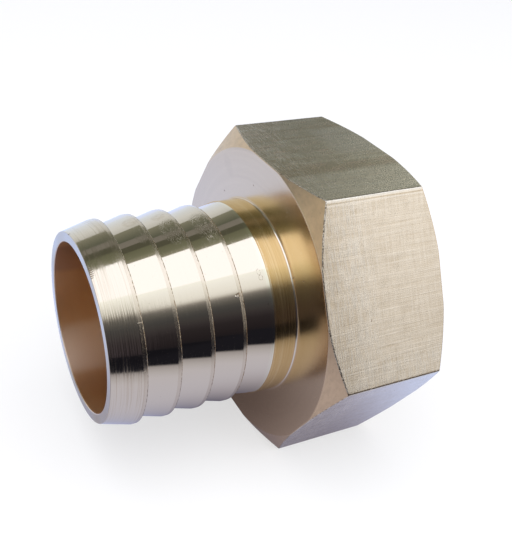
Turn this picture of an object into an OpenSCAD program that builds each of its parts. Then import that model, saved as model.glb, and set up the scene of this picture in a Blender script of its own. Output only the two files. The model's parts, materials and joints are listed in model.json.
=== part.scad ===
// Hose barb with a hexagon body: a hose tail on one side, a female pipe thread socket on the other.
// It is turned in one piece from brass hexagon bar. All sizes are in millimetres.
// The axis of the waterway is X. The tail points to -X and the socket opens to +X.
// The origin lies on that axis, in the plane of the shoulder where the tail meets the hexagon.
// The fitting lies on the flat of the hexagon that faces -Z.

/* [Hexagon] */
// Width of the hexagon across its flats
across_flats = 50; // [48:0.5:60]
// Length of the hexagon along the axis
hex_length = 21.4; // [20:0.2:30]
// Angle between the end faces and the conical chamfer on the hexagon's corners
hex_chamfer_angle = 30; // [15:1:40]
// How far the flat end faces reach beyond the middle of the flats
face_overlap = 0.2; // [0.05:0.05:0.6]

/* [Hose tail] */
// Length of the hose tail from the shoulder to the nose
tail_length = 30.4; // [24:0.2:50]
// Wall of the tail from the waterway to the root of the barbs, and at the nose
root_wall = 1.6; // [1:0.1:2.5]
// Height of the barbs above their root
barb_height = 1.25; // [0.8:0.05:1.8]
// Number of barbs, from the nose
barb_count = 5; // [3:1:6]
// Length of the plain neck between the last barb and the shoulder
neck_length = 3.5; // [2:0.1:10]
// Width of the narrow cylindrical land on top of each barb
crest_land = 0.65; // [0.2:0.05:1.2]
// Radius of the fillet between the neck and the shoulder
shoulder_fillet = 0.4; // [0.2:0.1:1]

/* [Waterway] */
// Diameter of the waterway through the tail
bore_d = 27.8; // [24:0.1:30]
// Leg of the small chamfer inside the nose
nose_chamfer = 0.1; // [0.05:0.05:0.6]

/* [Pipe thread socket] */
// Depth of the socket from the open end of the hexagon
socket_depth = 17.2; // [14:0.2:18]
// Diameter over the crests of the inside thread, a parallel one and a quarter inch pipe thread
thread_minor_d = 38.95; // [36:0.05:40]
// Diameter at the roots of the inside thread
thread_major_d = 41.91; // [41:0.01:43]
// Radial clearance of the relief groove and the lead-in beyond the thread roots
relief_clearance = 0.25; // [0.1:0.05:0.6]
// Width of the relief groove where the thread runs out
relief_width = 3.2; // [2:0.1:5]
// Angle between the axis and the lead-in cone
lead_in_angle = 45; // [30:1:60]

/* [Hidden] */

// Smoothness of round surfaces and of the fillet
$fn = 96;
fillet_steps = 6;

// A small length by which a cut passes the face that it opens
cut_past = 1;

// The hexagon: its corner radius, the flat end faces and the cone that trims the corners
corner_r = across_flats / sqrt(3);
face_r = across_flats / 2 + face_overlap;
trim_r = corner_r + cut_past;
trim_depth = (trim_r - face_r) * tan(hex_chamfer_angle);

// The tail: equal barbs from the nose up to the neck
root_r = bore_d / 2 + root_wall;
crest_r = root_r + barb_height;
barb_pitch = (tail_length - neck_length) / barb_count;

// The socket: thread crests, relief groove and lead-in
minor_r = thread_minor_d / 2;
relief_r = thread_major_d / 2 + relief_clearance;
socket_floor = hex_length - socket_depth;
lead_in_depth = (relief_r - minor_r) / tan(lead_in_angle);
relief_slope = relief_r - minor_r;

// Outline of barb i as [radius, place along the axis]: a square step down from the crest of the
// barb before it, unless it is the first, and then the cone up to its own land
function barb_points(i) = let (start = -tail_length + i * barb_pitch) [
    if (i > 0) [crest_r, start],
    [root_r, start],
    [crest_r, start + barb_pitch - crest_land]
];

// Outline of all barbs in turn, from the nose; the last one's land runs on as the neck
function all_barb_points() = [for (i = [0 : barb_count - 1]) each barb_points(i)];

// Hollow fillet that leads the neck into the shoulder
function shoulder_arc() = [
    for (i = [0 : fillet_steps]) let (a = 180 - 90 * i / fillet_steps)
        [crest_r + shoulder_fillet + shoulder_fillet * cos(a),
         -shoulder_fillet + shoulder_fillet * sin(a)]
];

// Turns an outline, drawn as [radius, place along the axis], about the X axis
module turned(outline) {
    rotate([0, 90, 0]) rotate_extrude() polygon(outline);
}

// Hexagon with flats above and below, its corners trimmed by a cone at both ends
module hexagon() {
    intersection() {
        rotate([0, 90, 0]) rotate([0, 0, 30]) cylinder(r = corner_r, h = hex_length, $fn = 6);
        turned([
            [0, 0], [face_r, 0], [trim_r, trim_depth],
            [trim_r, hex_length - trim_depth], [face_r, hex_length], [0, hex_length]
        ]);
    }
}

// Hose tail: saw-tooth barbs, the neck and its fillet, sunk a little into the hexagon
module tail() {
    turned(concat(
        [[0, -tail_length]],
        all_barb_points(),
        shoulder_arc(),
        [[crest_r + shoulder_fillet, cut_past], [0, cut_past]]
    ));
}

// Waterway through the tail and the web, with the chamfer inside the nose
module waterway() {
    rotate([0, 90, 0]) translate([0, 0, -tail_length - cut_past])
        cylinder(d = bore_d, h = tail_length + socket_floor + 2 * cut_past);
    turned([
        [0, -tail_length - cut_past],
        [bore_d / 2 + nose_chamfer + cut_past, -tail_length - cut_past],
        [bore_d / 2, -tail_length + nose_chamfer],
        [0, -tail_length + nose_chamfer]
    ]);
}

// Socket: flat seat, relief groove with a sloped side, thread crests and lead-in cone
module socket() {
    turned([
        [0, socket_floor],
        [relief_r, socket_floor],
        [relief_r, socket_floor + relief_width - relief_slope],
        [minor_r, socket_floor + relief_width],
        [minor_r, hex_length - lead_in_depth],
        [relief_r + cut_past * tan(lead_in_angle), hex_length + cut_past],
        [0, hex_length + cut_past]
    ]);
}

module hose_tail_fitting() {
    color([0.80, 0.66, 0.42])
    difference() {
        union() {
            hexagon();
            tail();
        }
        waterway();
        socket();
    }
}

hose_tail_fitting();
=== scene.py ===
import json
import math

import bpy
import numpy as np
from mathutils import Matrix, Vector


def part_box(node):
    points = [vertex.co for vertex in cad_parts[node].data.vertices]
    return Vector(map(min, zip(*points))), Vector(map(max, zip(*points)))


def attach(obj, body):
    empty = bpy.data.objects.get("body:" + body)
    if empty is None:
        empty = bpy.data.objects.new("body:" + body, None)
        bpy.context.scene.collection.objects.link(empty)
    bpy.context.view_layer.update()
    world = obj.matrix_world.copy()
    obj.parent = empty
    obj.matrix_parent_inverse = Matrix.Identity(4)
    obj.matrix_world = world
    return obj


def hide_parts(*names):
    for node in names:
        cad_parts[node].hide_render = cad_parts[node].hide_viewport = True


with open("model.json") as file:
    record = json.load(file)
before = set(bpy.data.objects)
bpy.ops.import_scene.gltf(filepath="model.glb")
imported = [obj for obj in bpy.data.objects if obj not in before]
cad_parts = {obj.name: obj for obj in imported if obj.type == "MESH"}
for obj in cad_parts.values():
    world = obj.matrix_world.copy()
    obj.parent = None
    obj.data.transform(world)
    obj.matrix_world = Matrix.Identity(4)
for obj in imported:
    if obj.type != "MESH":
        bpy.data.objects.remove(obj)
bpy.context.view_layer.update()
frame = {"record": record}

# Camera
# A phone camera held close, a hand's width and a half from the fitting, on the side of the nose.
# It looks down at about 34 degrees, and the picture was cropped a little off the lens's centre.
def add_object(name, data):
    """A new object with this data, linked to the scene."""
    made = bpy.data.objects.new(name, data)
    bpy.context.scene.collection.objects.link(made)
    return made


camera_data = bpy.data.cameras.new("camera")
camera = add_object("camera", camera_data)
bpy.context.scene.camera = camera
camera.location = (-0.05731, -0.09313, 0.0726)
camera.rotation_euler = [math.radians(a) for a in (53.296, -4.655, -25.154)]
camera_data.lens = 48.4
camera_data.sensor_width = 36.0
camera_data.shift_x = 0.0809
camera_data.shift_y = 0.0911
camera_data.clip_start = 0.005

# Shape of the fitting
# One brass piece, turned and bored on a lathe from hexagon bar. Its axis is X and its tail points to -X.
# The hexagon's size, the lengths and both bores come from the frame, and the rest are its own sizes.
MM = 0.001
low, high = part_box("hose_tail_fitting")
mounts = {m["name"]: m for m in frame["record"]["mounts"]}
nose = low.x
back_face = high.x
apothem = high.z
bore_radius = mounts["waterway"]["dims"]["r_mm"] * MM
thread_crest = mounts["threaded_socket"]["dims"]["r_mm"] * MM

root_wall = 1.6 * MM
barb_height = 1.25 * MM
barb_root = bore_radius + root_wall
barb_crest = barb_root + barb_height
barb_count = 5
neck_length = 3.5 * MM
crest_land = 0.65 * MM
shoulder_fillet = 0.4 * MM
nose_chamfer = 0.1 * MM
face_overlap = 0.2 * MM
end_face_radius = apothem + face_overlap
chamfer_angle = 30
chamfer_slope = math.tan(math.radians(chamfer_angle))
edge_break = 0.15 * MM
long_edge_round = 0.4 * MM

thread_pitch = 2.309 * MM
thread_root = 20.955 * MM
flank_steepness = 0.62
relief_clearance = 0.25 * MM
relief_radius = thread_root + relief_clearance
relief_width = 3.2 * MM
socket_depth = 17.2 * MM
seat = back_face - socket_depth

TURN = 2 * math.pi
CORNER_STEP = TURN / 6


def hexagon_radius(angle):
    """Distance from the axis to the bar's outline. It is the apothem over the cosine of the angle from the
    middle of the flat, and near a corner the far side of a small circle that touches both flats."""
    off_corner = (angle + CORNER_STEP / 2) % CORNER_STEP - CORNER_STEP / 2
    flat = apothem / np.cos(CORNER_STEP / 2 - np.abs(off_corner))
    centre = (apothem - long_edge_round) / math.cos(CORNER_STEP / 2)
    sideways = np.minimum(np.abs(centre * np.sin(off_corner)), long_edge_round)
    arc = centre * np.cos(off_corner) + np.sqrt(long_edge_round**2 - sideways**2)
    return np.where(np.abs(off_corner) < round_angle, arc, flat)


# Half the angle that a rounded long edge takes up, seen from the axis
round_angle = math.atan2(
    long_edge_round * math.sin(CORNER_STEP / 2),
    (apothem - long_edge_round) / math.cos(CORNER_STEP / 2) + long_edge_round * math.cos(CORNER_STEP / 2),
)


def column_angles(across_flat):
    """Angles of the grid's columns: close together over each rounded edge, and even across each flat."""
    edge = round_angle * np.array([-2.2, -1.0, -0.5, 0.0, 0.5, 1.0, 2.2])
    flat = np.linspace(edge[-1], CORNER_STEP + edge[0], across_flat + 2)[1:-1]
    one_side = np.concatenate([edge, flat])
    return np.concatenate([one_side + k * CORNER_STEP for k in range(6)])


columns_on_flat = 45
around = column_angles(columns_on_flat)
bar_radius = hexagon_radius(around)


def station(x, radius):
    """One corner of the outline at every column angle, as an array of (x, radius)."""
    return np.stack(np.broadcast_arrays(x, radius, around)[:2], axis=1).astype(float)


def softened(before, corner, after, leg):
    """Rows that round a corner: the parabola (1-t)^2 a + 2t(1-t) corner + t^2 b, where a and b lie one leg
    from the corner towards its neighbours, or less where a neighbour is near."""
    to_before = before - corner
    to_after = after - corner
    long_before = np.linalg.norm(to_before, axis=1, keepdims=True)
    long_after = np.linalg.norm(to_after, axis=1, keepdims=True)
    most_of_side = 0.45
    a = corner + to_before / long_before * np.minimum(leg, most_of_side * long_before)
    b = corner + to_after / long_after * np.minimum(leg, most_of_side * long_after)
    wide = leg > 0.2 * MM
    steps = 7 if wide else 3
    t = np.linspace(0, 1, steps + 1)[:, None, None]
    return (1 - t) ** 2 * a + 2 * t * (1 - t) * corner + t**2 * b


def rows_between(a, b, rows):
    """Rows on the straight line from a to b, without its ends, with one row close to each end so that the
    shading of the rounded corners stays on them."""
    if rows == 0:
        return np.empty((0,) + a.shape)
    close_by = 0.06 * MM
    shortest = 0.3 * MM
    hold = close_by / np.maximum(np.linalg.norm(b - a, axis=1).max(), shortest)
    t = np.concatenate([[hold], np.linspace(0, 1, rows)[1:-1], [1 - hold]])[:, None, None]
    return a + (b - a) * t


# The outline once round: out over the nose, along the barbs, over the hexagon, and back through the bores.
# Each entry is a corner, the leg of its rounding, the rows on the way to the next corner and their finish.
TAIL, FACE, FLAT, THREAD, BORE = range(5)
FINE = 0.05 * MM
pitch = (-nose - neck_length) / barb_count
outline = [
    (station(nose, bore_radius + nose_chamfer), FINE, 3, TAIL),
    (station(nose, barb_root), 2 * FINE, 6, TAIL),
]
for barb in range(barb_count):
    end = nose + (barb + 1) * pitch
    outline.append((station(end - crest_land, barb_crest), FINE, 3, TAIL))
    if barb < barb_count - 1:
        outline.append((station(end, barb_crest), FINE, 2, TAIL))
        outline.append((station(end, barb_root), FINE, 6, TAIL))
face_edge = np.minimum(end_face_radius, bar_radius - edge_break)
chamfer_length = (bar_radius - face_edge) * chamfer_slope
outline += [
    (station(0, barb_crest), shoulder_fillet, 9, FACE),
    (station(0, face_edge), 2 * FINE, 4, FACE),
    (station(chamfer_length, bar_radius), 2 * FINE, 20, FLAT),
    (station(back_face - chamfer_length, bar_radius), 2 * FINE, 4, FACE),
    (station(back_face, face_edge), 2 * FINE, 4, FACE),
    (station(back_face, relief_radius), FINE, 0, THREAD),
]


def rows_of(corners):
    """All rows of the outline up to its last corner, and the finish of the band after each row."""
    rows, finishes = [], []
    for k in range(len(corners) - 1):
        place, leg, count, finish = corners[k]
        before = corners[k - 1][0]
        after = corners[k + 1][0]
        bend = softened(before, place, after, leg)
        onward = softened(place, after, corners[(k + 2) % len(corners)][0], corners[k + 1][1])
        line = rows_between(bend[-1], onward[0], count)
        rows += [bend, line]
        finishes += [finish] * (len(bend) + len(line))
    return rows, finishes


def socket_radius(x, angle):
    """Wall of the threaded socket: the widest of three cuts. The thread goes from crest to root and back
    once a pitch, as a cosine squeezed towards straight flanks, and shifts by a pitch a turn. The lead-in is a
    45 degree cone from the mouth, and the relief groove lies next to the seat."""
    phase = np.cos(TURN * (x / thread_pitch - angle / TURN))
    depth = np.clip(0.5 + flank_steepness * phase, 0, 1)
    thread = thread_crest + (thread_root - thread_crest) * depth
    lead_in = relief_radius - (back_face - x)
    relief = relief_radius - np.maximum(x - (seat + relief_width - (relief_radius - thread_crest)), 0)
    return np.maximum(thread, np.maximum(lead_in, relief))


socket_rows = 92
off_mouth = 0.03 * MM
off_seat = 0.12 * MM
socket_x = np.linspace(back_face - off_mouth, seat + off_seat, socket_rows)[:, None] + 0 * around
socket_wall = np.stack([socket_x, socket_radius(socket_x, around[None, :])], axis=2)

inner = [
    (station(seat, relief_radius), FINE, 5, FACE),
    (station(seat, bore_radius), 2 * FINE, 14, BORE),
    (station(nose + nose_chamfer, bore_radius), FINE, 1, BORE),
]

outer_rows, outer_finish = rows_of(outline + [(socket_wall[0], 0, 0, THREAD)])
inner_rows, inner_finish = rows_of([(socket_wall[-1], FINE, 0, THREAD)] + inner + [outline[0]])
profile = np.concatenate(outer_rows + [socket_wall] + inner_rows)
finish = np.array(outer_finish + [THREAD] * len(socket_wall) + inner_finish)


def new_mesh(name, points, faces):
    """A mesh with these points and faces."""
    mesh = bpy.data.meshes.new(name)
    mesh.from_pydata(points, [], faces)
    return mesh


def closed_ring_mesh(name, rows, row_finish):
    """A closed surface from a grid: every row of (x, radius) is set at its column's angle, so that
    y = radius cos(angle) and z = radius sin(angle). Rows and columns both join up end to start. The corners
    of a face go along its row first, so that every face looks out of the brass."""
    count, columns = rows.shape[:2]
    x, radius = rows[..., 0], rows[..., 1]
    points = np.stack([x, radius * np.cos(around), radius * np.sin(around)], axis=2).reshape(-1, 3)
    row, column = np.meshgrid(np.arange(count), np.arange(columns), indexing="ij")
    next_row, next_column = (row + 1) % count, (column + 1) % columns
    quads = np.stack([
        row * columns + column,
        row * columns + next_column,
        next_row * columns + next_column,
        next_row * columns + column,
    ], axis=2).reshape(-1, 4)
    mesh = new_mesh(name, points, quads)
    mesh.polygons.foreach_set("material_index", np.repeat(row_finish, columns).astype(np.int32))
    mesh.shade_smooth()
    mesh.update()
    return mesh


def add_layout(mesh, rows, row_finish):
    """UV map for single marks, in mm: along the axis, and round it. Round the tail that is the arc at the
    crests, from the -Y side up over +Z. On a flat it is the apothem times the tangent of the angle from the
    flat's middle, plus a step for each flat before it. So the back upper flat's middle is at 0, the top one's
    at 40 and the front one's at 80."""
    flat_step = 40
    ends = np.append(around[1:], around[0] + TURN)
    flat = np.floor((around + ends) / 2 / CORNER_STEP)
    middle = (flat + 0.5) * CORNER_STEP

    def way_round(angle):
        across = apothem / MM * np.tan(middle - angle) + flat_step * flat
        arc = barb_crest / MM * (math.pi - angle)
        return np.where(row_finish[:, None] == FLAT, across, arc)

    x = rows[..., 0] / MM
    x_next = np.roll(x, -1, axis=0)
    along = np.stack([x, np.roll(x, -1, axis=1), np.roll(x_next, -1, axis=1), x_next], axis=2)
    start, stop = way_round(around), way_round(ends)
    layout = np.stack([along, np.stack([start, stop, stop, start], axis=2)], axis=3)
    mesh.uv_layers.new(name="layout").data.foreach_set("uv", layout.astype(np.float32).ravel())


fitting_mesh = closed_ring_mesh("fitting", profile, finish)
add_layout(fitting_mesh, profile, finish)
fitting = add_object("fitting", fitting_mesh)
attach(fitting, "root")
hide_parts("hose_tail_fitting")


# Finish of the brass
# All of it is the same bare yellow brass. The lathe left rings on the turned surfaces, and the flats still
# have the skin of the drawn bar, with streaks along it and fine saw-like lines across.
class Shade:
    """A socket in a material's node tree. Python's operators on it add the Math nodes they stand for."""

    def __init__(self, tree, socket):
        self.tree = tree
        self.socket = socket

    def node(self, kind, settings, sockets, output=0):
        """Adds a node: sets its settings, then gives each socket a value or a link. The result is the
        output with this name or number."""
        made = self.tree.nodes.new(kind)
        for key, value in settings.items():
            setattr(made, key, value)
        for key, value in sockets.items():
            if isinstance(value, Shade):
                self.tree.links.new(value.socket, made.inputs[key])
            else:
                made.inputs[key].default_value = value
        return Shade(self.tree, made.outputs[output])

    def maths(self, operation, *others):
        """A Math node with this socket first and the others after it."""
        return self.node("ShaderNodeMath", {"operation": operation}, dict(enumerate((self, *others))))

    def __add__(self, other):
        return self.maths("ADD", other)

    def __radd__(self, other):
        return self.maths("ADD", other)

    def __sub__(self, other):
        return self.maths("SUBTRACT", other)

    def __rsub__(self, other):
        return self.maths("MULTIPLY_ADD", -1.0, other)

    def __mul__(self, other):
        return self.maths("MULTIPLY", other)

    def __rmul__(self, other):
        return self.maths("MULTIPLY", other)

    def __pow__(self, other):
        return self.maths("POWER", other)

    def __abs__(self):
        return self.maths("ABSOLUTE")

    def larger(self, other):
        """The larger one of this value and the other."""
        return self.maths("MAXIMUM", other)

    def wave(self, length):
        """A sine from -1 to 1 that comes back after each such length."""
        return (self * (TURN / length)).maths("SINE")

    def between(self, start, end):
        """0 below start, 1 above end, and a smooth step from one to the other."""
        sockets = {"Value": self, "From Min": start, "From Max": end}
        return self.node("ShaderNodeMapRange", {"interpolation_type": "SMOOTHSTEP"}, sockets)

    def falls(self, start, end):
        """1 below start, 0 above end, and a smooth step from one to the other."""
        return 1 - self.between(start, end)

    def line_at(self, place, half_width):
        """1 on a line at this place, and 0 from one half width away."""
        return abs(self - place).falls(0.3 * half_width, half_width)

    def lines_at(self, marks):
        """The sum of several such lines, each given by its place and half width."""
        total = 0
        for place, half_width in marks:
            total = self.line_at(place, half_width) + total
        return total

    def mixed(self, first, second):
        """A colour between first and second, by this value. The Mix node has several sockets of each name,
        and the numbers are those of its factor, its two colours and their mix."""
        sockets = {0: self, 6: first, 7: second}
        return self.node("ShaderNodeMix", {"data_type": "RGBA"}, sockets, output=2)


def surface(name):
    """A new metallic material: the material, its shader, the object's x, y and z and the lay-out of marks
    along and round it, all in mm."""
    material = bpy.data.materials.new(name)
    material.use_nodes = True
    shader = material.node_tree.nodes["Principled BSDF"]
    shader.inputs["Metallic"].default_value = 1.0
    start = Shade(material.node_tree, None)
    place = start.node("ShaderNodeTexCoord", {}, {}, "Object")
    axes = [start.node("ShaderNodeSeparateXYZ", {}, {0: place}, axis) * (1 / MM) for axis in "XYZ"]
    layout = start.node("ShaderNodeUVMap", {"uv_map": "layout"}, {})
    ways = [start.node("ShaderNodeSeparateXYZ", {}, {0: layout}, axis) for axis in "XY"]
    return material, shader, axes, ways


def grain(places, sizes, detail=2.0):
    """Noise from 0 to 1, whose grains have these sizes along these places, in mm."""
    scaled = {axis: place * (1 / size) for axis, place, size in zip("XYZ", places, sizes)}
    vector = places[0].node("ShaderNodeCombineXYZ", {}, scaled)
    settings = {"Vector": vector, "Scale": 1.0, "Detail": detail, "Roughness": 0.6}
    return vector.node("ShaderNodeTexNoise", {}, settings)


def spot(ways, place, halves, turned=0.0):
    """1 inside an oval at this place in the lay-out, with these half sizes in mm, and 0 outside it."""
    along, sideways = ways[0] - place[0], ways[1] - place[1]
    cos, sin = math.cos(math.radians(turned)), math.sin(math.radians(turned))
    long_way = (along * cos + sideways * sin) * (1 / halves[0])
    short_way = (sideways * cos - along * sin) * (1 / halves[1])
    return (long_way**2 + short_way**2).falls(0.4, 1.0)


def apply(shader, colour, roughness, height):
    """Links colour and roughness to the shader, and height, in mm, as a bump."""
    links = height.tree.links
    links.new(colour.socket, shader.inputs["Base Color"])
    links.new(roughness.socket, shader.inputs["Roughness"])
    bump = height.node("ShaderNodeBump", {}, {"Strength": 1.0, "Distance": MM, "Height": height})
    links.new(bump.socket, shader.inputs["Normal"])


BRASS = (0.84, 0.70, 0.47, 1)
BRASS_SHADED = (0.70, 0.55, 0.34, 1)
BRASS_RED = (0.76, 0.52, 0.27, 1)
BRASS_RED_SHADED = (0.56, 0.38, 0.20, 1)
TARNISH = (0.26, 0.16, 0.08, 1)


def turned_brass():
    """Tail: bright, with fine rings round the axis. The first barb and the neck have coarser grooves. A fine
    torn burr, sunk below the land, runs along the edge of each step. A few nicks, with raised metal, and
    scratches came in handling."""
    material, shader, (x, y, z), ways = surface("turned_brass")
    along, way = ways
    first_barb = along.falls(-25.9, -25.3)
    neck = along.between(-5.0, -3.6)
    rim = along.falls(-30.39, -30.33)
    step = (along - nose / MM) * (MM / pitch)
    steps_only = step.between(0.5, 0.6) * step.falls(4.4, 4.5)
    land = step.maths("FRACT").between(0.865, 0.885) * steps_only
    off_edge = abs(step - step.maths("ROUND")) * (pitch / MM)
    burr_shape = grain(ways, (0.2, 0.45), 3.0)
    burr = steps_only * off_edge.falls(0.03, 0.13) * burr_shape.between(0.42, 0.55)

    # Rings of the tool
    fine = grain((x, y, z), (0.09, 14, 14))
    dull_lines = grain((x, y, z), (0.12, 8, 8), 1.0).between(0.48, 0.80)
    grooves = grain((x, y, z), (0.24, 16, 16), 1.0)
    groove_lines = grain((x, y, z), (0.20, 12, 12), 1.0).between(0.40, 0.75)
    neck_rings = grain((x, y, z), (0.22, 30, 30), 3.0)
    neck_lines = neck_rings.between(0.46, 0.62)
    height = fine * 0.005 + first_barb * grooves * 0.026 + neck * neck_rings * 0.012
    height = height - burr * burr_shape * 0.10

    # Scratches in two directions, on the upper side of three barbs
    scratched = spot(ways, (-20.9, 24.6), (1.2, 2.6)) * 0.5
    scratched = scratched.larger(spot(ways, (-16.0, 24.6), (1.9, 4.0)) * 0.8)
    scratched = scratched.larger(spot(ways, (-10.6, 24.6), (1.9, 4.6)))
    falling = grain((along + way * 0.16, way), (0.20, 3.0), 0.0).between(0.48, 0.60)
    rising = grain((along - way * 0.4, way), (0.24, 2.6), 0.0).between(0.56, 0.68)
    scratch_lines = falling.larger(rising) * scratched
    scuffed = grain(ways, (0.55, 0.5), 3.0).between(0.38, 0.62) * scratched
    height = height - scratch_lines * 0.006

    # Single marks: nicks, a comb of ticks and a speck on the nose's rim, a scuff of two rings near the neck,
    # and stains
    nick_a = spot(ways, (-25.48, 10.2), (0.42, 0.07))
    nick_b = spot(ways, (-9.66, 11.24), (0.46, 0.27), 20)
    nick_b_dark = spot(ways, (-9.66, 11.50), (0.46, 0.15), 20)
    nick_c = spot(ways, (-4.8, 9.06), (0.12, 0.12))
    nick_d = spot(ways, (-25.6, 2.84), (0.2, 0.1), 30)
    on_rim = ((y * y + z * z) ** 0.5).between(15.3, 15.45)
    comb = spot(ways, (-30.25, 19.4), (0.55, 1.3)) * way.wave(0.34).between(0.1, 0.6) * on_rim
    speck = spot(ways, (-30.35, 30.5), (0.3, 0.22)) * on_rim
    tick = spot(ways, (-4.95, 34.6), (0.05, 0.45))
    upper_ring = (((along + 5.25) * (1 / 0.26)) ** 2 + ((way - 14.2) * (1 / 0.55)) ** 2).line_at(0.9, 0.4)
    lower_ring = (((along + 5.15) * (1 / 0.30)) ** 2 + ((way - 13.3) * (1 / 0.45)) ** 2).line_at(0.9, 0.5)
    scuff = (lower_ring + upper_ring) * grain(ways, (0.2, 0.3)).between(0.40, 0.56)
    stain = spot(ways, (-21.1, 28.8), (1.5, 1.8)) + spot(ways, (-16.2, 29.6), (1.4, 1.5))
    stain = stain * grain(ways, (0.7, 0.7), 3.0).between(0.10, 0.80)
    bright_marks = nick_a + nick_b + nick_d + tick
    dark_marks = comb + speck + nick_b_dark + scuff * 0.6 + nick_c * 0.7 + stain * 0.2
    height = height + comb * 0.03 + nick_b * 0.05

    pits = grain(ways, (0.35, 0.35), 1.0).between(0.74, 0.80)
    burr_dirt = burr * grain(ways, (0.3, 0.5), 2.0).between(0.38, 0.58)
    shading = first_barb * groove_lines * 0.5 + fine * 0.16 + land * 0.4 + stain * 0.6 + scuffed * 0.3
    colour = shading.between(-0.1, 1.1).mixed(BRASS, BRASS_SHADED)
    colour = neck.mixed(colour, neck_lines.mixed((0.88, 0.78, 0.49, 1), (0.95, 0.88, 0.61, 1)))
    colour = rim.mixed(colour, (0.62, 0.47, 0.26, 1))
    dark = (burr_dirt * 0.75 + dark_marks * 0.8 + pits * 0.35).between(0, 1)
    colour = dark.mixed(colour, TARNISH)
    roughness = 0.04 + dull_lines * 0.09 + first_barb * (0.02 + groove_lines * 0.13)
    roughness = roughness + neck * (0.03 + neck_lines * 0.06) + land * 0.14 + rim * 0.15 + scuffed * 0.16
    roughness = roughness + bright_marks * 0.5 + scratch_lines * 0.16 + dark * 0.25
    apply(shader, colour, roughness, height)
    return material


def faced_brass():
    """Shoulder, chamfers and ends: faced on the lathe, with rings about the axis and a redder shade."""
    material, shader, (x, y, z), ways = surface("faced_brass")
    radius = (y * y + z * z) ** 0.5
    rings = grain((radius, y, z), (0.11, 16, 16))
    broad_rings = grain((radius, y, z), (0.9, 40, 40), 1.0)
    height = rings * 0.0007 + broad_rings * 0.003

    on_chamfer = x.between(0.02, 0.10) * x.falls(2.5, 3.0)
    mottle = (grain((x, y, z), (0.5, 1.1, 1.1), 3.0) - 0.5) * on_chamfer
    pits = grain((x, y, z), (0.3, 0.3, 0.3), 1.0).between(0.68, 0.76)
    flat_ways = (y, z)
    specks = spot(flat_ways, (12.1, 14.2), (0.2, 0.12), 30) + spot(flat_ways, (2.5, 19.7), (0.13, 0.13))
    specks = specks + spot(flat_ways, (-15.5, 12.4), (0.2, 0.12))
    ring_stain = radius.line_at(25.0, 0.35) * z.between(21.0, 23.5) * y.between(2.5, 5.0)
    ring_nick = spot(ways, (-0.2, 12.19), (0.5, 0.14)) * radius.falls(17.3, 17.5)
    smear = spot(flat_ways, (11.6, 19.1), (2.6, 1.3), 35)
    tone = rings * 0.14 + broad_rings * 0.3 + ring_stain * 0.3 + smear * 0.1 + mottle * 1.6
    colour = tone.mixed(BRASS_RED, BRASS_RED_SHADED)
    dark = (pits * 0.35 + specks + ring_nick * 0.5).between(0, 1)
    colour = dark.mixed(colour, TARNISH)
    # A thin ring at the fillet is polished smoother, and its paler colour is a painted highlight
    fillet_polish_and_highlight = radius.falls(16.80, 16.90) * x.falls(0.0, 0.1)
    colour = fillet_polish_and_highlight.mixed(colour, (0.86, 0.74, 0.52, 1))
    roughness = 0.20 + 0.05 * rings + on_chamfer * 0.10 + dark * 0.2 - fillet_polish_and_highlight * 0.09
    apply(shader, colour, roughness, height + mottle * 0.012 - specks * 0.02)
    return material


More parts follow.
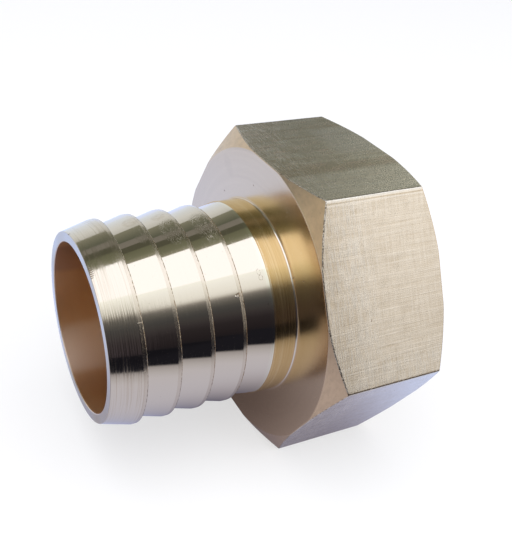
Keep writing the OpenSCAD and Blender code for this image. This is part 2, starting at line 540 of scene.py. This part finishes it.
def bar_brass():
    """Flats: the drawn skin of the bar, satin, with streaks along it and saw-like lines across, stained in
    places, and with a burr where the chamfers cut it."""
    material, shader, (_, y, z), ways = surface("bar_brass")
    along, across = ways
    radius = (y * y + z * z) ** 0.5
    on_top = across.between(22.0, 24.0) * across.falls(55.0, 56.0)
    near_front = (along - on_top * 3.5).falls(2.0, 6.5)

    # Marks across and along the bar
    wander = grain(ways, (5, 4), 1.0)
    saw_lines = grain((along + wander * 0.1, across), (0.20, 2.6), 1.0).between(0.38, 0.66)
    low_strip = across.between(60.0, 62.0) * across.falls(68.0, 72.0)
    sawn = along.falls(5.5, 10.5).larger(low_strip)
    saw_lines = saw_lines * (0.2 + 0.8 * sawn * grain(ways, (1.8, 3.6)).between(0.25, 0.55))
    across_lines = grain(ways, (0.15, 9), 2.0) - 0.5
    along_lines = grain(ways, (9, 0.14), 2.0) - 0.5
    broad_streaks = grain(ways, (14, 0.8), 2.0) - 0.5
    hair_place = (along * 0.6 + across * 0.8, across * 0.6 - along * 0.8)
    hairs = grain(hair_place, (2.5, 0.14), 1.0).between(0.62, 0.74)
    height = saw_lines * 0.002 - across_lines * 0.005 - along_lines * 0.020 - broad_streaks * 0.020

    # Top flat: dark streaks, a pale strip along its front edge, partly a painted reflection, with a dark
    # one beside it, a cooler side, and lines across in two places
    streaks_top = across.lines_at(((50.2, 0.8), (46.7, 0.5), (31.1, 0.12), (28.8, 0.12), (27.6, 0.1)))
    pale_strip_partly_painted = on_top * across.falls(32.8, 34.4) * (1 - 0.4 * across.between(26.5, 32.5))
    dark_band = across.between(33.0, 34.6) * across.falls(35.6, 37.4) * on_top
    cool_side = along.between(12.0, 15.0) * across.between(38.0, 40.5) * across.falls(48.5, 50.0)
    cross_lines = grain(ways, (0.13, 2.2), 1.0).between(0.50, 0.62) * across.falls(36.5, 40.0)
    cross_lines = cross_lines * (0.25 + along.line_at(3.5, 0.9) + along.line_at(11.5, 0.6)) * on_top
    haze = grain(ways, (4.5, 1.3), 3.0).between(0.46, 0.70) * on_top

    # Front flat: long scratches, painted highlights and groove shade at its upper edge, stains and a nick
    scratches = across.lines_at((
        (83.95, 0.07), (78.4, 0.06), (76.6, 0.06), (73.4, 0.07), (69.6, 0.1), (68.7, 0.1), (67.6, 0.12),
    ))
    scratches = scratches * grain(ways, (3.0, 0.5)).between(0.35, 0.6)
    # Painted highlights: two pale lines on the rounded upper edge, and a painted shade line between them for
    # the groove
    groove_painted_shade = across.line_at(93.88, 0.10)
    edge_painted_highlights = across.line_at(93.6, 0.14) + across.line_at(94.15, 0.16)
    stains = spot(ways, (7.0, 92.4), (1.3, 0.5)) + spot(ways, (2.0, 89.8), (0.6, 0.5))
    stains = stains + spot(ways, (10.3, 71.5), (2.6, 0.35)) + spot(ways, (10.0, 69.3), (3.0, 0.5))
    stains = stains + spot(ways, (16.2, 69.4), (1.0, 0.4))
    stains = stains * grain(ways, (0.6, 0.5), 3.0).between(0.35, 0.62)
    nick = spot(ways, (7.6, 76.0), (0.28, 0.12), 60)

    # Burrs: where the front chamfer cuts the flats, and along the front flat's lower edge
    off_front = along - (radius - end_face_radius / MM) * chamfer_slope
    rough_edge = grain(ways, (0.5, 0.45), 3.0)
    front_burr = off_front.falls(0.03, 0.22) * rough_edge.between(0.42, 0.62)
    low_burr = across.line_at(65.72, 0.22) * rough_edge.between(0.30, 0.50)

    patches = grain(ways, (2.4, 1.9), 3.0)
    tone = 0.46 - saw_lines * 0.8 + across_lines * 0.9 + along_lines
    tone = tone + broad_streaks * (0.7 + on_top * 1.1) + (patches - 0.5) * (0.45 + on_top * 0.25)
    tone = tone + near_front * 0.30 + on_top * 0.22 + streaks_top * 0.4
    tone = tone + dark_band * (0.3 + 0.8 * patches) - cross_lines * 0.8
    # Here the edge lines lighten as painted highlights and the groove line darkens as painted shade
    tone = tone - edge_painted_highlights * 0.6 + groove_painted_shade * 0.8 - scratches * 0.5 + stains * 0.35 - hairs * 0.15
    colour = tone.between(-0.35, 1.35).mixed((0.93, 0.80, 0.57, 1), (0.66, 0.52, 0.32, 1))
    colour = (haze * 0.45).mixed(colour, (0.90, 0.66, 0.44, 1))
    # The strip's paler brass stands partly for a painted reflection
    pale_brass_painted_reflection = along_lines.between(-0.2, 0.2).mixed((1, 0.86, 0.63, 1), (0.84, 0.70, 0.49, 1))
    colour = pale_strip_partly_painted.mixed(colour, pale_brass_painted_reflection)
    colour = (cool_side * 0.6).mixed(colour, (0.86, 0.73, 0.54, 1))
    dark = (front_burr * 0.75 + low_burr * 0.8 + nick * 0.6 + stains * 0.12).between(0, 1)
    colour = dark.mixed(colour, TARNISH)
    roughness = 0.20 + across_lines * 0.10 + (patches - 0.5) * 0.11 + haze * 0.07 + cross_lines * 0.08
    roughness = roughness + saw_lines * 0.10 + hairs * 0.12 + front_burr * 0.1 - pale_strip_partly_painted * 0.06
    apply(shader, colour, roughness, height - front_burr * rough_edge * 0.08)
    return material


def threaded_brass():
    """Socket: cut clean, with marks of the tool along the thread."""
    material, shader, axes, _ = surface("threaded_brass")
    marks = grain(axes, (0.08, 6, 6))
    apply(shader, marks.mixed(BRASS, BRASS_SHADED), 0.18 + 0.08 * marks, marks * 0.004)
    return material


def bored_brass():
    """Waterway: drilled and reamed, with rings and a duller, redder skin."""
    material, shader, axes, ways = surface("bored_brass")
    rings = grain(axes, (0.16, 14, 14))
    broad_rings = grain(axes, (1.6, 30, 30), 1.0)
    tone = rings * 0.3 + broad_rings * 0.5
    colour = tone.mixed((0.88, 0.61, 0.34, 1), (0.78, 0.50, 0.25, 1))

    # Low on the far side the bore's colour is paler, a painted light, and higher up there it is darker, a
    # painted shade
    low_spot_painted_light = spot(ways, (-25, -37.4), (15, 6.5))
    colour = (low_spot_painted_light * 0.6).mixed(colour, (0.95, 0.76, 0.54, 1))
    high_spot_painted_shade = spot(ways, (-26, 45.5), (13, 5.5))
    colour = (high_spot_painted_shade * 0.6).mixed(colour, (0.60, 0.40, 0.28, 1))
    apply(shader, colour, 0.34 + 0.06 * rings + low_spot_painted_light * 0.06, rings * 0.0015)
    return material


for make in (turned_brass, faced_brass, bar_brass, threaded_brass, bored_brass):
    fitting_mesh.materials.append(make())


# Floor
# A plain pale sheet that the fitting lies on, far wider than the view. Most of what the camera sees of it is
# a white of its own, so that the shadow stays soft and light, and far off it is all white.
def flat_sheet(name, xs, ys, height):
    """A level sheet on a grid of places in metres. It is no part of the fitting."""
    gx, gy = np.meshgrid(xs, ys, indexing="ij")
    points = np.stack([gx, gy, np.full_like(gx, height)], axis=2).reshape(-1, 3)
    row, column = np.meshgrid(np.arange(len(xs) - 1), np.arange(len(ys) - 1), indexing="ij")
    first = row * len(ys) + column
    quads = np.stack([first, first + len(ys), first + len(ys) + 1, first + 1], axis=2).reshape(-1, 4)
    sheet = add_object(name, new_mesh(name, points, quads))
    return sheet


def camera_sees(start):
    """1 for what the camera sees, also by way of metal or glass, and 0 for what only lights other things."""
    kinds = ("Is Camera Ray", "Is Glossy Ray", "Is Transmission Ray")
    direct, mirrored, through = [start.node("ShaderNodeLightPath", {}, {}, kind) for kind in kinds]
    return direct.larger(mirrored).larger(through)


reach = 3.0
under_floor = 0.02 * MM
floor = flat_sheet("floor", [-reach, reach], [-reach, reach], low.z - under_floor)
floor_paint = bpy.data.materials.new("floor_paint")
floor_paint.use_nodes = True
floor_tree = floor_paint.node_tree
floor_shader = floor_tree.nodes["Principled BSDF"]
floor_shader.inputs["Base Color"].default_value = (0.90, 0.90, 0.92, 1)
floor_shader.inputs["Roughness"].default_value = 0.9
floor_shader.inputs["Specular IOR Level"].default_value = 0.1
floor_start = Shade(floor_tree, None)
floor_lit = Shade(floor_tree, floor_shader.outputs[0])
floor_white = floor_start.node("ShaderNodeEmission", {}, {"Color": (1, 1, 1, 1), "Strength": 1.0})
floor_place = floor_start.node("ShaderNodeTexCoord", {}, {}, "Object")
off_middle = floor_start.node("ShaderNodeVectorMath", {"operation": "LENGTH"}, {0: floor_place}, "Value")
white_share = camera_sees(floor_start) * (0.6 + 0.4 * off_middle.between(0.3, 1.2))
floor_mix = floor_start.node("ShaderNodeMixShader", {}, {0: white_share, 1: floor_lit, 2: floor_white})
floor_tree.links.new(floor_mix.socket, floor_tree.nodes["Material Output"].inputs[0])
floor.data.materials.append(floor_paint)


# Cards round the fitting
# The polished brass shows its surroundings, so long cards stand about the axis as in a photo studio: a dark
# one on the camera's side, bright ones above it, an olive one with a pale gap over the back, and a pale wall.
def give_light(mesh_object, light):
    """Makes an object glow with a colour for each of its points, seen only in reflections."""
    layer = mesh_object.data.color_attributes.new("light", "FLOAT_COLOR", "POINT")
    opaque = np.append(light, np.ones((len(light), 1)), axis=1)
    layer.data.foreach_set("color", opaque.astype(np.float32).ravel())
    material = bpy.data.materials.new(mesh_object.name)
    material.use_nodes = True
    material.node_tree.nodes.clear()
    start = Shade(material.node_tree, None)
    colour = start.node("ShaderNodeAttribute", {"attribute_name": "light"}, {})
    glow = start.node("ShaderNodeEmission", {}, {"Color": colour, "Strength": 1.0})
    out = material.node_tree.nodes.new("ShaderNodeOutputMaterial")
    material.node_tree.links.new(glow.socket, out.inputs[0])
    mesh_object.data.materials.append(material)
    mesh_object.visible_camera = False
    mesh_object.visible_diffuse = False
    mesh_object.visible_shadow = False


def light_between(stops, places):
    """The light at these places. It runs evenly between stops, each a place and the light there."""
    known, lights = np.array([stop[0] for stop in stops]), np.array([stop[1] for stop in stops])
    return np.stack([np.interp(places, known, shade) for shade in lights.T], axis=-1)


card_distance = 0.7
card_step = 2.0


def card(name, left, right, stops, right_level=1.0):
    """A strip bent about the X axis, between two slopes of x over distance. Its light runs evenly between
    stops, each an angle in degrees from -Y, the camera's side, up over +Z, and the light there. Across the
    strip it changes evenly to that light times right_level. Its rows are a card step apart at most."""
    ends = [stop[0] for stop in stops]
    angle = np.unique(np.concatenate([ends, np.arange(ends[0], ends[-1], card_step)]))
    light = light_between(stops, angle)
    ys, zs = -card_distance * np.cos(np.radians(angle)), card_distance * np.sin(np.radians(angle))
    points = np.concatenate([
        np.stack([np.full_like(ys, side * card_distance), ys, zs], axis=1) for side in (left, right)
    ])
    k = np.arange(len(angle) - 1)
    quads = np.stack([k, k + 1, k + 1 + len(angle), k + len(angle)], axis=1)
    strip = add_object(name, new_mesh(name, points, quads))
    give_light(strip, np.concatenate([light, light * right_level]))


card("dark_card", -0.25, 0.52, [
    (-22, (0.010, 0.012, 0.024)), (-5, (0.012, 0.013, 0.022)), (2, (0.019, 0.017, 0.026)),
    (12, (0.026, 0.024, 0.035)), (17, (0.039, 0.037, 0.053)), (22, (0.053, 0.054, 0.072)),
    (27, (0.060, 0.066, 0.088)), (31, (0.080, 0.087, 0.112)), (35, (0.13, 0.14, 0.17)),
    (38, (0.20, 0.21, 0.26)), (40, (0.34, 0.36, 0.44)), (42, (0.64, 0.70, 0.86)),
])
card("dim_card", -1.6, -0.25, [
    (-22, (0.060, 0.060, 0.100)), (-5, (0.055, 0.050, 0.080)), (12, (0.055, 0.052, 0.075)),
    (27, (0.070, 0.076, 0.100)), (38, (0.13, 0.14, 0.17)), (42, (0.30, 0.32, 0.38)),
])
card("side_light", 0.52, 1.6, [
    (-22, (0.65, 0.68, 0.80)), (12, (0.76, 0.79, 0.94)), (17, (0.87, 0.91, 1.08)), (22, (0.95, 0.99, 1.19)),
    (29, (1.13, 1.18, 1.40)), (42, (1.17, 1.23, 1.48)),
], 0.8)
card("front_light", -0.25, 1.6, [
    (42, (0.64, 0.70, 0.86)), (44, (0.84, 0.93, 1.18)), (47, (0.93, 1.04, 1.32)), (57, (1.04, 1.18, 1.53)),
    (61.5, (1.10, 1.26, 1.60)),
])
card("front_light_end", -1.6, -0.25, [
    (42, (0.32, 0.34, 0.40)), (48, (0.70, 0.78, 0.95)), (56, (1.00, 1.13, 1.42)), (61.5, (1.15, 1.32, 1.66)),
])
card("over_card", -1.6, 1.6, [
    (61.5, (1.27, 1.42, 1.94)), (99.2, (1.27, 1.42, 1.94)), (99.7, (0.30, 0.33, 0.33)),
    (105, (0.18, 0.205, 0.18)), (113, (0.14, 0.16, 0.135)), (113.8, (0.09, 0.10, 0.09)),
    (121, (0.09, 0.10, 0.09)), (121.8, (0.21, 0.22, 0.25)), (129.2, (0.20, 0.21, 0.24)),
    (129.9, (0.11, 0.13, 0.125)), (147.3, (0.24, 0.265, 0.26)),
])
card("shaded_wall", -1.9, -0.75, [
    (143, (0.30, 0.33, 0.40)), (150, (0.24, 0.30, 0.45)), (182, (0.24, 0.30, 0.45)),
])
card("pale_wall", -0.75, 0.47, [
    (147.3, (0.57, 0.64, 0.80)), (158, (0.70, 0.79, 1.00)), (182, (0.77, 0.91, 1.22)),
])
card("olive_wall", 0.47, 0.64, [
    (147.3, (0.52, 0.54, 0.54)), (149.3, (0.52, 0.54, 0.54)), (150.3, (0.14, 0.17, 0.185)),
    (165, (0.18, 0.21, 0.23)), (170, (0.6, 0.7, 1.0)), (182, (0.77, 0.91, 1.24)),
])
card("olive_wall_side", 0.64, 1.6, [
    (147.3, (0.60, 0.62, 0.63)), (149.3, (0.60, 0.62, 0.63)), (150.3, (0.14, 0.17, 0.185)),
    (165, (0.18, 0.21, 0.23)), (170, (0.2, 0.25, 0.3)), (182, (0.2, 0.25, 0.3)),
], 5.5)
card("end_card", -8.0, -1.6, [
    (-22, (0.05, 0.05, 0.07)), (36, (0.07, 0.07, 0.09)), (46, (0.50, 0.52, 0.56)),
    (60, (0.75, 0.75, 0.75)), (105, (0.60, 0.58, 0.56)), (120, (0.44, 0.40, 0.38)),
    (130, (0.58, 0.62, 0.68)), (138, (0.64, 0.70, 0.82)), (150, (0.60, 0.68, 0.82)),
    (182, (0.75, 0.95, 1.35)),
])


def ramp(value, start, end):
    """0 below start, 1 above end, and an even rise between them."""
    return np.clip((value - start) / (end - start), 0, 1)


def shade_under(x, y, middle, spread):
    """A bell that is 1 at its middle, exp(-distance^2 / (2 spread^2)), for the shade under the fitting."""
    return np.exp(-((x - middle[0]) ** 2 + (y - middle[1]) ** 2) / (2 * spread**2))


def sheet_light(x, y):
    """Light of the floor as the metal sees it, at places in mm: dark far out on the camera's side, grey near
    the fitting, brighter behind it and past the socket, and dim where the fitting stands over it."""
    light = light_between([
        (-90, (0.012, 0.013, 0.024)), (-82, (0.36, 0.38, 0.52)), (-65, (0.49, 0.53, 0.74)),
        (-50, (0.57, 0.62, 0.91)), (-20, (0.56, 0.62, 0.96)), (-5, (0.50, 0.57, 0.92)),
        (10, (0.50, 0.58, 0.95)), (70, (0.74, 0.90, 1.30)), (150, (0.76, 0.90, 1.20)),
    ], y)
    behind_tail = ramp(-x, 2, 16) * ramp(y, 8, 38) * ramp(-y, -170, -100)
    light = light + ((0.75, 1.01, 1.87) - light) * behind_tail[..., None]
    past_socket = ramp(x, 18, 44) * ramp(y, -80, -50)
    light = light + (np.maximum(light, (0.70, 0.86, 1.36)) - light) * past_socket[..., None]
    out_left = 1 - 0.30 * ramp(-x, 42, 56) * ramp(-y, 0, 15)
    light = light * out_left[..., None]
    dim = 1 - 0.65 * shade_under(x, y, (-3, 3), 13)
    dim = dim * (1 - 0.36 * shade_under(x, y, (12, -12), 10))
    redder = np.array((1.34, 1.52, 1.67))
    return light * dim[..., None] ** redder


# This sheet lies between the fitting and the floor, and only reflections show it
near = np.arange(-130, 131, 3) * MM
far = np.array([0.2, 0.4, 1.0, reach])
sheet_places = np.concatenate([-far[::-1], near, far])
seen_floor = flat_sheet("seen_floor", sheet_places, sheet_places, low.z - under_floor / 2)
sheet_x, sheet_y = np.meshgrid(sheet_places / MM, sheet_places / MM, indexing="ij")
give_light(seen_floor, sheet_light(sheet_x, sheet_y).reshape(-1, 3))


# Lamps and world
# Two broad lamps light the floor softly, and the world is a plain pale room.
def lamp(name, place, size, power):
    """A square lamp that faces the fitting and doesn't show in it."""
    data = bpy.data.lights.new(name, "AREA")
    data.size = size
    data.energy = power
    light = add_object(name, data)
    light.location = place
    light.rotation_euler = light.location.to_track_quat("Z", "Y").to_euler()
    light.visible_glossy = False


lamp("overhead_lamp", (-0.15, -0.25, 0.9), 1.0, 9.0)
lamp("side_lamp", (0.5, -0.5, 0.5), 0.7, 2.0)

world = bpy.data.worlds.new("room")
bpy.context.scene.world = world
world.use_nodes = True
room = world.node_tree
room.nodes.clear()
room_start = Shade(room, None)
seen = camera_sees(room_start)
room_colour = seen.mixed((0.9, 0.92, 1, 1), (1, 1, 1, 1))
room_light = room_start.node("ShaderNodeBackground", {}, {"Color": room_colour, "Strength": seen * 0.5 + 0.5})
room_out = room.nodes.new("ShaderNodeOutputWorld")
room.links.new(room_light.socket, room_out.inputs[0])

bpy.context.scene.view_settings.view_transform = "Standard"
